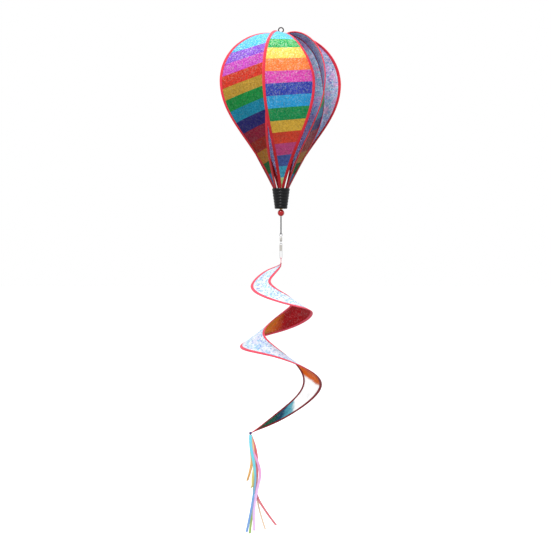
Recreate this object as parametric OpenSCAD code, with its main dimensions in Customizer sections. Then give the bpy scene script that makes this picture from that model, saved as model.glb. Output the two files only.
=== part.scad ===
// Hanging balloon wind spinner: six sprung fabric leaves turn with a small basket round a
// centre wire, and a spiral tail with streamers turns below them on a snap swivel.
// +Z is up, the front is -Y, and the origin is the centre of the hanging eye.

/* [Centre wire] */
// Thickness of the centre wire
wire_d = 2.5; // [2:0.1:3]
// Inside width of the hanging eye
hang_eye_id = 8; // [7:0.5:10]
// Inside width of the lower eye
lower_eye_id = 5.4; // [5:0.2:7]
// Bare wire from the lower stop to the lower eye
lower_wire = 28; // [15:1:45]
// Thickness of the wall of the two crimped stops
stop_wall = 0.7; // [0.5:0.1:1.2]
// Length of each stop
stop_len = 2.5; // [2:0.5:5]

/* [Balloon] */
// Height from the leaf clamp to the basket rim
balloon_h = 329; // [270:1:400]
// Widest radius of each leaf's leading edge
lead_r = 134; // [112:1:161]
// How far down the leading edge is widest
lead_drop = 100; // [80:1:120]
// Widest radius of each leaf's trailing edge
trail_r = 97.5; // [80:0.5:117]
// How far down the trailing edge is widest
trail_drop = 128; // [105:1:150]
// Radius of the leaf clamp on top
clamp_r = 9.5; // [9:0.5:12]

/* [Fabric and binding] */
// Thickness of the fabric
fabric_t = 0.3; // [0.2:0.05:0.4]
// Width of the folded binding tape
band_w = 6.5; // [5.5:0.5:8]
// Thickness of the binding tape
band_t = 0.4; // [0.3:0.05:0.5]
// Thickness of the spring wire in each hem
hem_wire_d = 1.1; // [0.9:0.1:1.3]

/* [Basket and bead] */
// Outside radius of the basket rim
rim_r = 19.4; // [16:0.1:23]
// Outside radius of the basket floor
floor_r = 13.6; // [12.4:0.1:16]
// Height of the basket
basket_h = 43.5; // [36:0.5:52]
// Thickness of the basket wall and floor
basket_wall = 1.6; // [1.2:0.1:2]
// Number of ribs round the basket
ribs = 7; // [5:1:9]
// Diameter of the bead
bead_d = 14.5; // [11:0.5:18]

/* [Snap swivel] */
// Thickness of the swivel and snap wire
snap_wire_d = 1.1; // [1:0.1:1.2]
// Outside diameter of the swivel barrel
barrel_d = 5.2; // [5:0.2:6]
// Length of the swivel barrel
barrel_len = 10; // [8:0.5:12]
// Height of the snap
snap_len = 33; // [28:1:40]
// Width of the snap between the middles of its legs
snap_w = 4.6; // [4.4:0.2:5.4]
// Height of the snap's folded clasp
clasp_len = 13; // [10:1:15]

/* [Tail and streamers] */
// Height of the spiral tail
tail_h = 375; // [312:1:450]
// Widest radius of the spiral tail
tail_r = 89; // [74:1:107]
// Width of a streamer
streamer_w = 6.5; // [5.5:0.5:8]
// Thickness of a streamer
streamer_t = 0.4; // [0.3:0.1:0.5]

/* [Hidden] */
$fn = 48;
LEAVES = 6;
STREAMERS = 7;
fit = 0.1;          // gap between pieces that turn or slide on each other
loose = 0.3;        // gap between pieces that only hang on each other
step_angle = 360 / LEAVES;

wire_r = wire_d / 2;
hang_ring_r = hang_eye_id / 2 + wire_r;
lower_ring_r = lower_eye_id / 2 + wire_r;
hem_r = hem_wire_d / 2;
band_half = fabric_t / 2 + fit + band_t;    // half the thickness of a bound edge
fold_half = hem_r + fit + band_t;           // the same where the spring wire lies
fold_len = 2 * hem_r + 2 * fit + 2 * band_t; // how far in the wire's pocket reaches

// The stack on the centre wire, from the top down
stop_r = wire_r + stop_wall;
cap_t = 1.2;
boss_r = wire_r + fit + 1;
top_stop_z = -hang_ring_r - wire_r - loose;
cap_z = top_stop_z - stop_len - fit;
leaf_z = cap_z - cap_t - fold_half - loose;
washer_z = leaf_z - fold_half - loose;
rim_z = leaf_z - balloon_h;
floor_z = rim_z - basket_h;
flange_t = 1.2;
bead_z = floor_z - flange_t - loose - bead_d / 2;
low_stop_z = bead_z - bead_d / 2 - fit;
lower_eye_z = low_stop_z - stop_len - lower_wire - lower_ring_r;

// How the leaves sit in the basket
seat_h = 22;        // how far the leaf ends reach below the rim
seat_angle = 21;    // half the angle that a leaf end takes
function basket_inside(z) = rim_r - basket_wall - (rim_r - floor_r) * (rim_z - z) / basket_h;
neck_r = basket_inside(rim_z) - fold_half - loose;
seat_r = basket_inside(rim_z - seat_h) - fold_half - loose;
plug_r = seat_r * cos(seat_angle) - fold_half - fit;
plug_z = rim_z - 9;
bush_r = wire_r + fit + 0.8;

// The snap swivel, hanging in the lower eye
snap_r = snap_wire_d / 2;
link_r = lower_ring_r - 0.75;
hang_z = lower_eye_z - lower_ring_r;                // middle of the wire that it hangs on
link_z = hang_z + wire_r + fit + snap_r - link_r;   // centre of the swivel's upper ring
barrel_z = link_z - link_r - snap_r - 1;            // top of the barrel
barrel_r = barrel_d / 2;
low_link_r = snap_w / 2 - 0.3;
low_link_z = barrel_z - barrel_len - snap_r - low_link_r;
snap_top_z = low_link_z - low_link_r + 2 * snap_r + fit;  // middle of the snap's top wire
snap_arc_r = snap_w / 2;
snap_foot_z = snap_top_z - snap_len + snap_arc_r;         // centre of the snap's lower bend
latch_z = snap_foot_z + 1;
clasp_z = snap_top_z - 4;
latch_top_z = clasp_z - 2;

// The tail hangs on the snap's lower bend
eyelet_hole_r = 1.7;
eyelet_r = 3;
eyelet_t = 1.4;
perch_z = snap_foot_z - snap_arc_r;                 // middle of the wire that it hangs on
eyelet_z = perch_z + snap_r + fit - eyelet_hole_r;
tab_w = 7.2;
tab_t = 1;
tail_z = eyelet_z - 8;

// Curves

function bezier(p, t) =
    pow(1 - t, 3) * p[0] + 3 * pow(1 - t, 2) * t * p[1] + 3 * (1 - t) * t * t * p[2] + t * t * t * p[3];
function smooth_through(p, i, t) =   // Catmull-Rom curve between stations i and i + 1
    let (a = p[max(i - 1, 0)], b = p[i], c = p[i + 1], d = p[min(i + 2, len(p) - 1)])
    0.5 * (2 * b + (c - a) * t + (2 * a - 5 * b + 4 * c - d) * t * t + (3 * b - a - 3 * c + d) * t * t * t);
function along(p, s) =
    let (i = min(floor(s), len(p) - 2)) smooth_through(p, i, s - i);
function unit(v) = v / norm(v);
function around(r, angle, z) = [r * sin(angle), -r * cos(angle), z];   // angle from the front

// The two edges of a leaf, as radius and height. u runs from -1 in the clamp, 0 at its rim,
// 1 at the widest place and 2 at the basket rim to 3 at the leaf's lower end.

clamp_in_r = clamp_r - 3.2;
crown_rise = 16;    // how high the leading edge's curve pulls above the clamp
function lead_edge(u) =
    u < 0 ? [clamp_r + u * (clamp_r - clamp_in_r), leaf_z]
    : u < 1 ? bezier([[clamp_r, leaf_z], [lead_r * 0.34, leaf_z + crown_rise],
                      [lead_r * 0.98, leaf_z - 18], [lead_r, leaf_z - lead_drop]], u)
    : u < 2 ? bezier([[lead_r, leaf_z - lead_drop], [lead_r, leaf_z - balloon_h * 0.56],
                      [lead_r * 0.42, leaf_z - balloon_h * 0.7], [neck_r, rim_z]], u - 1)
    : [neck_r + (u - 2) * (seat_r - neck_r), rim_z - (u - 2) * seat_h];
function trail_edge(u) =
    u < 0 ? [clamp_r + u * (clamp_r - clamp_in_r), leaf_z]
    : u < 1 ? bezier([[clamp_r, leaf_z], [trail_r * 0.31, leaf_z + crown_rise / 2],
                      [trail_r * 0.99, leaf_z - 28], [trail_r, leaf_z - trail_drop]], u)
    : u < 2 ? bezier([[trail_r, leaf_z - trail_drop], [trail_r, leaf_z - balloon_h * 0.59],
                      [trail_r * 0.62, leaf_z - balloon_h * 0.725], [neck_r, rim_z]], u - 1)
    : [neck_r + (u - 2) * (seat_r - neck_r), rim_z - (u - 2) * seat_h];

// The leading edge keeps its place round the wire, and the trailing edge follows at an angle
lead_angle = -17;
clamp_spread = 50;
wide_spread = 65;
wide_at = 0.3;
function spread(z) =
    let (t = (leaf_z - z) / balloon_h)
    t <= 0 ? clamp_spread
    : t < wide_at ? wide_spread - (wide_spread - clamp_spread) * pow(1 - t / wide_at, 1.5)
    : t < 1 ? wide_spread - (wide_spread - 2 * seat_angle) * pow((t - wide_at) / (1 - wide_at), 1.3)
    : 2 * seat_angle;
function lead_point(u) = let (e = lead_edge(u)) around(e[0], lead_angle, e[1]);
function trail_point(u) = let (e = trail_edge(u)) around(e[0], lead_angle + spread(e[1]), e[1]);

// The tail's two edges. Each station is an angle round the wire from the right, the outer edge's
// radius and depth, then the inner edge's, as shares of the tail's radius and height.
TAIL = [
    [ 84,  0.04,  0.000, -0.04,  0.000],
    [125,  0.56,  0.040,  0.14,  0.040],
    [180,  0.73,  0.130,  0.24,  0.091],
    [270,  0.77,  0.227,  0.24,  0.150],
    [360,  0.77,  0.292,  0.26,  0.205],
    [450,  0.86,  0.405,  0.30,  0.270],
    [540,  0.99,  0.480,  0.38,  0.370],
    [630,  0.99,  0.537,  0.44,  0.472],
    [720,  0.99,  0.704,  0.50,  0.623],
    [810,  0.99,  0.932,  0.70,  0.832],
    [860,  0.98,  0.998,  0.93,  0.990]
];
outer_lead = 24;    // how far round the outer edge runs ahead of the inner one
function tail_track(s) = along(TAIL, s * (len(TAIL) - 1));
function tail_ahead(s) = outer_lead * pow(sin(180 * s), 0.6);
function tail_outer(s) =
    let (e = tail_track(s), angle = e[0])
    [tail_r * e[1] * cos(angle), tail_r * e[1] * sin(angle), tail_z - tail_h * e[2]];
function tail_inner(s) =
    let (e = tail_track(s), angle = e[0] - tail_ahead(s))
    [tail_r * e[3] * cos(angle), tail_r * e[3] * sin(angle), tail_z - tail_h * e[4]];

// Where the streamers are tied to the tail's tip
knot_r = 3.2;
knot = (tail_outer(1) + tail_inner(1)) / 2 - [knot_r * 0.5, 0, knot_r * 0.3];

// Each streamer's route from the knot: across, back, down and how far the ribbon has turned
STREAMER_ROUTES = [
    // sky blue
    [[0, -2.1, 3.6, 0], [1, -5, 30, 10], [8, -8, 66, 25], [11, -10, 100, 50], [6, -10, 140, 40],
     [0, -12, 175, 35], [-8, -14, 214, 30]],
    // coral
    [[0, 0.7, 3.6, 0], [9, 1.6, 28, -15], [14, 2.5, 56, -25], [14, 3, 86, -20], [11, 2.5, 116, -10],
     [15, 0, 140, 10], [33, -2, 170, 30], [56, -3, 201, 35]],
    // orange
    [[0, -0.7, 3.6, 0], [1, -1.7, 30, 5], [3, -2.4, 58, 10], [0, -3.2, 80, 20], [-7, -3.6, 104, 40]],
    // yellow
    [[0, 0, 3.6, 0], [5, 0, 34, 10], [8, 0, 70, 20], [5, 0, 98, 30], [4, 1, 116, 40],
     [-2, 2, 122, 50]],
    // lilac
    [[0, -1.4, 3.6, 0], [3, -3.3, 34, 5], [17, -5.5, 66, -15], [21, -6, 92, -20], [15, -6, 122, -25],
     [8, -6, 165, -20], [8, -6, 213, -30]],
    // green
    [[0, 1.4, 3.6, 0], [3, 4, 36, 10], [9, 7, 80, 30], [7, 9, 125, 50], [4, 11, 170, 45],
     [-2, 13, 223, 35]],
    // peach
    [[0, 2.1, 3.6, 0], [7, 6, 36, -10], [14, 10, 80, -25], [13, 13, 125, -40], [18, 15, 165, -45],
     [32, 17, 214, -45]]
];
STREAMER_COLOURS = ["deepskyblue", "indianred", "orange", "gold", "plum", "yellowgreen", "wheat"];

LEAF_NODES = [for (k = [1:LEAVES], kind = ["panel", "binding", "springs"]) str("leaf_", k, "_", kind)];
STREAMER_NODES = [for (k = [1:STREAMERS]) str("streamer_", k)];

// Building blocks

// Skins a list of rings, each with the same number of points, and closes both ends. splits says
// which diagonal each side of the ring is split along, so that thin layers twist together.
module skin(rings, splits) {
    n = len(rings[0]);
    m = len(rings);
    sides = [for (j = [0:m - 2], i = [0:n - 1], half = [0, 1])
        let (a = j * n + i, b = j * n + (i + 1) % n)
        splits[i] ? (half == 0 ? [a, b, b + n] : [a, b + n, a + n])
        : (half == 0 ? [a, b, a + n] : [b, b + n, a + n])];
    first = [for (i = [n - 1:-1:0]) i];
    last = [for (i = [0:n - 1]) (m - 1) * n + i];
    polyhedron(points = [for (ring = rings, p = ring) p], faces = concat([first, last], sides));
}

// A strip of fabric is two edges, one point each at every station. A point of it is given by how
// far in it lies from the first edge and how far it stands off the fabric.
function strip_place(a, b, before, after, inward, off) =
    let (across = unit(b - a), out = unit(cross(after - before, across)))
    a + inward * across + off * out;

function band_width(a, b) = min(band_w, 0.46 * norm(b - a));
function pocket_len(band) = min(fold_len, band * 0.85);   // as deep as the spring wire needs

// Cross-sections as lists of [inward, off]
function panel_section(w, band) =
    let (in = pocket_len(band), h = fabric_t / 2)
    [[in, h], [band, h], [w / 2, h], [w - band, h], [w - in, h],
     [w - in, -h], [w - band, -h], [w / 2, -h], [band, -h], [in, -h]];
function binding_section(band) =
    let (pocket = pocket_len(band), wall = min(band_t, pocket * 0.3),
         lip = band_half - band_t, room = fold_half - band_t)
    [[band, band_half], [pocket, fold_half], [0, fold_half * 0.7], [0, -fold_half * 0.7],
     [pocket, -fold_half], [band, -band_half], [band - 0.1, -lip], [pocket - wall, -room],
     [wall, -room], [wall, room], [pocket - wall, room], [band - 0.1, lip]];
function wire_section(band) =
    let (middle = pocket_len(band) / 2)
    [for (i = [0:5]) [middle + hem_r * cos(60 * i), hem_r * sin(60 * i)]];

// Every layer is split from the strip's edge inwards
PANEL_SPLITS = [true, true, false, false, false, true, true, false, false, false];
function layer_splits(n) = [for (i = [0:n - 1]) i >= n / 2];

// Rings along a strip. from_second takes the inward distances from the second edge instead.
function strip_rings(first, second, section, from_second) =
    let (last = len(first) - 1)
    [for (j = [0:last])
        let (p = from_second ? second : first, q = from_second ? first : second,
             mid_before = (p[max(j - 1, 0)] + q[max(j - 1, 0)]) / 2,
             mid_after = (p[min(j + 1, last)] + q[min(j + 1, last)]) / 2)
        [for (s = section[j]) strip_place(p[j], q[j], mid_before, mid_after, s[0], s[1])]];

module strip_panel(first, second) {
    sections = [for (j = [0:len(first) - 1])
        panel_section(norm(second[j] - first[j]), band_width(first[j], second[j]))];
    skin(strip_rings(first, second, sections, false), PANEL_SPLITS);
}

module strip_binding(first, second, from_second) {
    sections = [for (j = [0:len(first) - 1]) binding_section(band_width(first[j], second[j]))];
    skin(strip_rings(first, second, sections, from_second), layer_splits(len(sections[0])));
}

module strip_spring(first, second, from_second) {
    sections = [for (j = [0:len(first) - 1]) wire_section(band_width(first[j], second[j]))];
    skin(strip_rings(first, second, sections, from_second), layer_splits(len(sections[0])));
}

// A closed ring of round wire about the Y axis, or about the X axis when turned
module wire_ring(ring_r, section_r, turned = false) {
    rotate([0, 0, turned ? 90 : 0]) rotate([90, 0, 0])
        rotate_extrude() translate([ring_r, 0]) circle(r = section_r, $fn = 24);
}

module tube(outer_r, inner_r, h) {
    difference() {
        cylinder(r = outer_r, h = h);
        translate([0, 0, -1]) cylinder(r = inner_r, h = h + 2);
    }
}

// Centre wire and its stops

module center_wire() color("dimgray") {
    wire_ring(hang_ring_r, wire_r);
    translate([0, 0, lower_eye_z + lower_ring_r])
        cylinder(r = wire_r, h = -hang_ring_r - lower_eye_z - lower_ring_r);
    translate([0, 0, lower_eye_z]) wire_ring(lower_ring_r, wire_r, turned = true);
}

module top_stop() color("silver")
    translate([0, 0, top_stop_z - stop_len]) tube(stop_r, wire_r, stop_len);

module bottom_stop() color("silver")
    translate([0, 0, low_stop_z - stop_len]) tube(stop_r, wire_r, stop_len);

// The clamp that holds the tops of the leaves: a flanged cap with a boss, and a washer

boss_bottom_z = washer_z - cap_t - 0.6;
module leaf_clamp_cap() color("crimson") {
    translate([0, 0, cap_z - cap_t]) tube(clamp_r, wire_r + fit, cap_t);
    translate([0, 0, boss_bottom_z]) tube(boss_r, wire_r + fit, cap_z - cap_t - boss_bottom_z);
}

module leaf_clamp_washer() color("crimson")
    translate([0, 0, washer_z - cap_t]) tube(clamp_r, boss_r, cap_t);

// Leaves

STATIONS = [-1, for (i = [0:18]) i / 9, 2.5, 3];
LEAD = [for (u = STATIONS) lead_point(u)];
TRAIL = [for (u = STATIONS) trail_point(u)];

module leaf_panel(k) color(k % 2 == 0 ? "mediumseagreen" : "mediumorchid")
    rotate([0, 0, step_angle * (k - 1)]) strip_panel(LEAD, TRAIL);

module leaf_binding(k) color("crimson")
    rotate([0, 0, step_angle * (k - 1)]) for (side = [false, true]) strip_binding(LEAD, TRAIL, side);

module leaf_springs(k) color("gray")
    rotate([0, 0, step_angle * (k - 1)]) for (side = [false, true]) strip_spring(LEAD, TRAIL, side);

// Basket: a tapered cup of stacked ribs, with a plug that holds the leaf ends and a bush

rib_h = basket_h / ribs;
rib_out = 0.9;
module basket() color([0.08, 0.08, 0.09]) {
    slope = (rim_r - floor_r) / basket_h;
    outside = [for (i = [0:ribs - 1], step = [0:4])
        let (down = (i + step / 4) * rib_h, swell = rib_out * sin(45 * step))
        [rim_r - rib_out - slope * down + swell, rim_z - down]];
    inside_floor_z = floor_z + basket_wall;
    rotate_extrude($fn = 72) polygon(concat(
        [[basket_inside(rim_z) - 0.2, rim_z]], outside, [[bush_r, floor_z], [bush_r, inside_floor_z],
        [basket_inside(inside_floor_z) - rib_out, inside_floor_z],
        [basket_inside(rim_z - 12) - 0.2, rim_z - 12]]));
}

module basket_plug() color("saddlebrown")
    translate([0, 0, floor_z + basket_wall])
        tube(min(plug_r, basket_inside(floor_z) - rib_out - loose), bush_r, plug_z - floor_z - basket_wall);

module basket_bush() color("goldenrod") {
    translate([0, 0, floor_z]) tube(bush_r, wire_r + fit, plug_z - floor_z);
    translate([0, 0, floor_z - flange_t]) tube(bush_r + 1.6, wire_r + fit, flange_t);
}

module bead() color("firebrick")
    translate([0, 0, bead_z]) difference() {
        sphere(d = bead_d);
        cylinder(r = wire_r + fit, h = bead_d + 2, center = true);
    }

// Snap swivel

head_r = 1.4;
module swivel_link() color("silver") {
    translate([0, 0, link_z]) wire_ring(link_r, snap_r);
    translate([0, 0, barrel_z - 3]) cylinder(r = snap_r, h = link_z - link_r - barrel_z + 3);
    translate([0, 0, barrel_z - 3.4]) cylinder(r = head_r, h = 1.2);
}

module swivel_barrel() color("silver")
    difference() {
        translate([0, 0, barrel_z - barrel_len]) union() {
            cylinder(r1 = barrel_r * 0.7, r2 = barrel_r, h = 1.6);
            translate([0, 0, 1.6]) cylinder(r = barrel_r, h = barrel_len - 3.2);
            translate([0, 0, barrel_len - 1.6]) cylinder(r1 = barrel_r, r2 = barrel_r * 0.7, h = 1.6);
        }
        translate([0, 0, barrel_z - 4]) cylinder(r = snap_r + fit, h = 5);
        translate([0, 0, barrel_z - 3.4 - fit]) cylinder(r = head_r + fit, h = 1.2 + 2 * fit);
    }

module swivel_ring() color("silver") {
    translate([0, 0, low_link_z]) wire_ring(low_link_r, snap_r, turned = true);
}

module snap_frame() color("gainsboro") {
    // half rings above and below, joined by the left leg; the right side is a short stub
    for (end = [[snap_top_z - snap_arc_r, 0], [snap_foot_z, 180]])
        translate([0, 0, end[0]]) rotate([90, end[1], 0])
            rotate_extrude(angle = 180) translate([snap_arc_r, 0]) circle(r = snap_r, $fn = 24);
    translate([-snap_arc_r, 0, snap_foot_z])
        cylinder(r = snap_r, h = snap_top_z - snap_arc_r - snap_foot_z);
    translate([snap_arc_r, 0, clasp_z - 1]) cylinder(r = snap_r, h = snap_top_z - snap_arc_r - clasp_z + 1);
}

clasp_wall = 0.35;
module snap_clasp() color("whitesmoke") {
    // a channel folded round the left leg, open on the right where the latch tucks in
    half_w = snap_arc_r + snap_r + clasp_wall + fit;
    half_t = snap_r + fit;
    translate([0, 0, clasp_z - clasp_len]) linear_extrude(clasp_len) difference() {
        translate([-half_w, -half_t - clasp_wall]) square([2 * half_w - 0.6, 2 * (half_t + clasp_wall)]);
        translate([-half_w + clasp_wall, -half_t]) square([2 * half_w, 2 * half_t]);
    }
}

module snap_latch() color("gainsboro")
    translate([snap_arc_r, 0, latch_z]) {
        cylinder(r = snap_r, h = latch_top_z - latch_z - 1);
        sphere(r = snap_r, $fn = 24);
        translate([0, 0, latch_top_z - latch_z - 1]) sphere(r = snap_r * 1.05, $fn = 24);
    }

// Tail

TAIL_STATIONS = 60;
OUTER = [for (j = [0:TAIL_STATIONS]) tail_outer(j / TAIL_STATIONS)];
INNER = [for (j = [0:TAIL_STATIONS]) tail_inner(j / TAIL_STATIONS)];

module tail_tab() color("crimson")
    difference() {
        union() {
            translate([0, 0, eyelet_z]) rotate([0, 90, 0]) cylinder(r = tab_w / 2, h = tab_t, center = true);
            translate([-tab_t / 2, -tab_w / 2, tail_z]) cube([tab_t, tab_w, eyelet_z - tail_z]);
        }
        translate([0, 0, eyelet_z]) rotate([0, 90, 0])
            cylinder(r = eyelet_hole_r + 0.4, h = tab_t + 2, center = true);
    }

module tail_eyelet() color("silver")
    translate([0, 0, eyelet_z]) rotate([0, 90, 0]) translate([0, 0, -eyelet_t / 2]) {
        tube(eyelet_hole_r + 0.4, eyelet_hole_r, eyelet_t);
        for (side = [0, (eyelet_t + tab_t) / 2])
            translate([0, 0, side]) tube(eyelet_r, eyelet_hole_r, (eyelet_t - tab_t) / 2);
    }

module tail_panel() color("lightsteelblue") strip_panel(OUTER, INNER);
module tail_outer_binding() color("crimson") strip_binding(OUTER, INNER, false);
module tail_inner_binding() color("crimson") strip_binding(OUTER, INNER, true);

// Streamers

module streamer_knot() color("purple") translate(knot) sphere(r = knot_r, $fn = 32);

STREAMER_RINGS = 12;
// Ring j of a streamer: a flat ribbon with bevelled edges, turned about the vertical
function streamer_ring(route, j) =
    let (s = j / (STREAMER_RINGS - 1) * (len(route) - 1), e = along(route, s),
         w = streamer_w / 2, t = streamer_t / 2, bevel = 0.3)
    [for (p = [[w, t - 0.1], [w - bevel, t], [bevel - w, t], [-w, t - 0.1],
               [-w, 0.1 - t], [bevel - w, -t], [w - bevel, -t], [w, 0.1 - t]])
        knot + [e[0] + p[0] * cos(e[3]) - p[1] * sin(e[3]),
                e[1] + p[0] * sin(e[3]) + p[1] * cos(e[3]), -e[2]]];

module streamer(k) color(STREAMER_COLOURS[k - 1]) {
    rings = [for (j = [0:STREAMER_RINGS - 1]) streamer_ring(STREAMER_ROUTES[k - 1], j)];
    skin(rings, layer_splits(len(rings[0])));
}

// The nodes

center_wire();
top_stop();
bottom_stop();
leaf_clamp_cap();
leaf_clamp_washer();
for (k = [1:LEAVES]) {
    leaf_panel(k);
    leaf_binding(k);
    leaf_springs(k);
}
basket();
basket_plug();
basket_bush();
bead();
swivel_link();
swivel_barrel();
swivel_ring();
snap_frame();
snap_clasp();
snap_latch();
tail_tab();
tail_eyelet();
tail_panel();
tail_outer_binding();
tail_inner_binding();
streamer_knot();
for (k = [1:STREAMERS]) streamer(k);
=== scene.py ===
"""Hanging balloon wind spinner: six striped film leaves on sprung hems, a black basket, a snap
swivel and a spiral tail with ribbon streamers. +Z is up, the front is -Y, units are metres."""
import math

import bmesh
import bpy
import numpy as np
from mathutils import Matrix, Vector


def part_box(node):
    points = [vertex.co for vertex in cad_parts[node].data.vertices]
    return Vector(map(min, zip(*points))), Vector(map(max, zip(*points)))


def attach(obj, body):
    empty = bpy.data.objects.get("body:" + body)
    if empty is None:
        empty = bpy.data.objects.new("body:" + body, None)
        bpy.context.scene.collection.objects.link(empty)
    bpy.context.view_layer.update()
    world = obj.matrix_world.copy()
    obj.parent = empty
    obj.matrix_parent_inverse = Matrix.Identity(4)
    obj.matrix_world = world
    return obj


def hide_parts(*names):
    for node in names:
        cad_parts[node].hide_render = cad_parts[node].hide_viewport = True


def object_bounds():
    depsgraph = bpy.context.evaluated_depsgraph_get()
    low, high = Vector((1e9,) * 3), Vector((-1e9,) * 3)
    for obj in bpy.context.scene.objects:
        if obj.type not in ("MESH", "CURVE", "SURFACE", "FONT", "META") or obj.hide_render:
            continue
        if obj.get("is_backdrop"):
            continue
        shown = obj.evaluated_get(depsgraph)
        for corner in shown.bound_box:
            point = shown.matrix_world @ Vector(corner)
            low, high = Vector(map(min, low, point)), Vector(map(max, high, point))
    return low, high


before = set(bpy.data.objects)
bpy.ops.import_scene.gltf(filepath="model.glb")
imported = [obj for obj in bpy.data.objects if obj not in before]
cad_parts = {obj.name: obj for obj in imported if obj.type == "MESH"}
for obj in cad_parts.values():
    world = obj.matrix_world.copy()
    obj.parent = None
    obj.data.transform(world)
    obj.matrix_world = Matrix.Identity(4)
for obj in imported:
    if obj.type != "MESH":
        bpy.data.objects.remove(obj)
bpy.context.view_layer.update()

scene = bpy.context.scene
MM = 0.001

# Sizes of the object, in metres, the same as in the part's source

WIRE_R = 1.25 * MM
HANG_RING_R = 5.25 * MM         # middle of the hanging eye's wire
LOWER_RING_R = 3.95 * MM        # middle of the lower eye's wire
LEAVES = 6
BALLOON_H = 329 * MM
LEAD_R = 134 * MM
LEAD_DROP = 100 * MM
TRAIL_R = 97.5 * MM
TRAIL_DROP = 128 * MM
CLAMP_R = 9.5 * MM
CLAMP_GRIP = 3.2 * MM
LEAF_Z = -11.95 * MM
CROWN_RISE = 16 * MM
LEAD_ANGLE = -17
CLAMP_SPREAD = 50
WIDE_SPREAD = 65
WIDE_AT = 0.3
SEAT_ANGLE = 21
SEAT_H = 22 * MM
FILM_T = 0.3 * MM
BAND_W = 6.5 * MM
BAND_T = 0.4 * MM
FIT = 0.1 * MM
HEM_R = 0.55 * MM
BAND_HALF = FILM_T / 2 + FIT + BAND_T
FOLD_HALF = HEM_R + FIT + BAND_T
FOLD_LEN = 2 * FOLD_HALF
RIM_R = 19.4 * MM
FLOOR_R = 13.6 * MM
BASKET_H = 43.5 * MM
BASKET_WALL = 1.6 * MM
BASKET_RIBS = 7
BEAD_R = 7.25 * MM
TAIL_R = 89 * MM
TAIL_H = 375 * MM
OUTER_LEAD = 24
KNOT_R = 3.2 * MM
KNOT_THREAD_R = 0.36 * MM
KNOT_TURNS = 9
RIBBON_W = 6.5 * MM
RIBBON_T = 0.4 * MM
RIBBON_ROWS = 72

# The film's puckers: flat by the binding, short waves beside it and long ones further in
LEAF_ROWS, LEAF_COLUMNS, LEAF_BUCKLE = 190, 30, 0.3 * MM
TAIL_ROWS, TAIL_COLUMNS, TAIL_BUCKLE = 330, 26, 0.35 * MM
FADE_W = 4 * MM
PUCKER_W = 11 * MM
PUCKER_PITCH = 8.5 * MM
BILLOW_PITCH = 61 * MM

RIM_Z = LEAF_Z - BALLOON_H
FLOOR_Z = RIM_Z - BASKET_H
BEAD_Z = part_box("bead")[0].z / 2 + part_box("bead")[1].z / 2
LOWER_EYE_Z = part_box("center_wire")[0].z + WIRE_R + LOWER_RING_R
TAIL_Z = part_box("tail_tab")[0].z

# The tail's stations: an angle round the wire from the right, the outer edge's radius and depth,
# then the inner edge's, as shares of the tail's radius and height
TAIL = np.array([
    [84, 0.04, 0.000, -0.04, 0.000],
    [125, 0.56, 0.040, 0.14, 0.040],
    [180, 0.73, 0.130, 0.24, 0.091],
    [270, 0.77, 0.227, 0.24, 0.150],
    [360, 0.77, 0.292, 0.26, 0.205],
    [450, 0.86, 0.405, 0.30, 0.270],
    [540, 0.99, 0.480, 0.38, 0.370],
    [630, 0.99, 0.537, 0.44, 0.472],
    [720, 0.99, 0.704, 0.50, 0.623],
    [810, 0.99, 0.932, 0.70, 0.832],
    [860, 0.98, 0.998, 0.93, 0.990],
])

# Each streamer's route from the knot in millimetres: across, back, down and its turn in degrees
STREAMERS = {
    "sky": [[0, -2.1, 3.6, 0], [1, -5, 30, 10], [8, -8, 66, 25], [11, -10, 100, 50], [6, -10, 140, 40],
            [0, -12, 175, 35], [-8, -14, 214, 30]],
    "coral": [[0, 0.7, 3.6, 0], [9, 1.6, 28, -15], [14, 2.5, 56, -25], [14, 3, 86, -20], [11, 2.5, 116, -10],
              [15, 0, 140, 10], [33, -2, 170, 30], [56, -3, 201, 35]],
    "orange": [[0, -0.7, 3.6, 0], [1, -1.7, 30, 5], [3, -2.4, 58, 10], [0, -3.2, 80, 20],
               [-7, -3.6, 104, 40]],
    "yellow": [[0, 0, 3.6, 0], [5, 0, 34, 10], [8, 0, 70, 20], [5, 0, 98, 30], [4, 1, 116, 40],
               [-2, 2, 122, 50]],
    "lilac": [[0, -1.4, 3.6, 0], [3, -3.3, 34, 5], [17, -5.5, 66, -15], [21, -6, 92, -20], [15, -6, 122, -25],
              [8, -6, 165, -20], [8, -6, 213, -30]],
    "green": [[0, 1.4, 3.6, 0], [3, 4, 36, 10], [9, 7, 80, 30], [7, 9, 125, 50], [4, 11, 170, 45],
              [-2, 13, 223, 35]],
    "peach": [[0, 2.1, 3.6, 0], [7, 6, 36, -10], [14, 10, 80, -25], [13, 13, 125, -40], [18, 15, 165, -45],
              [32, 17, 214, -45]],
}


def dye(red, green, blue):
    """A dye's colour, from its 0 to 255 screen values."""
    def linear(part):
        share = part / 255
        return share / 12.92 if share <= 0.04045 else ((share + 0.055) / 1.055) ** 2.4
    return (linear(red), linear(green), linear(blue), 1.0)


WHITE = (1.0, 1.0, 1.0, 1.0)
BLACK = (0.0, 0.0, 0.0, 1.0)

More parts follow.
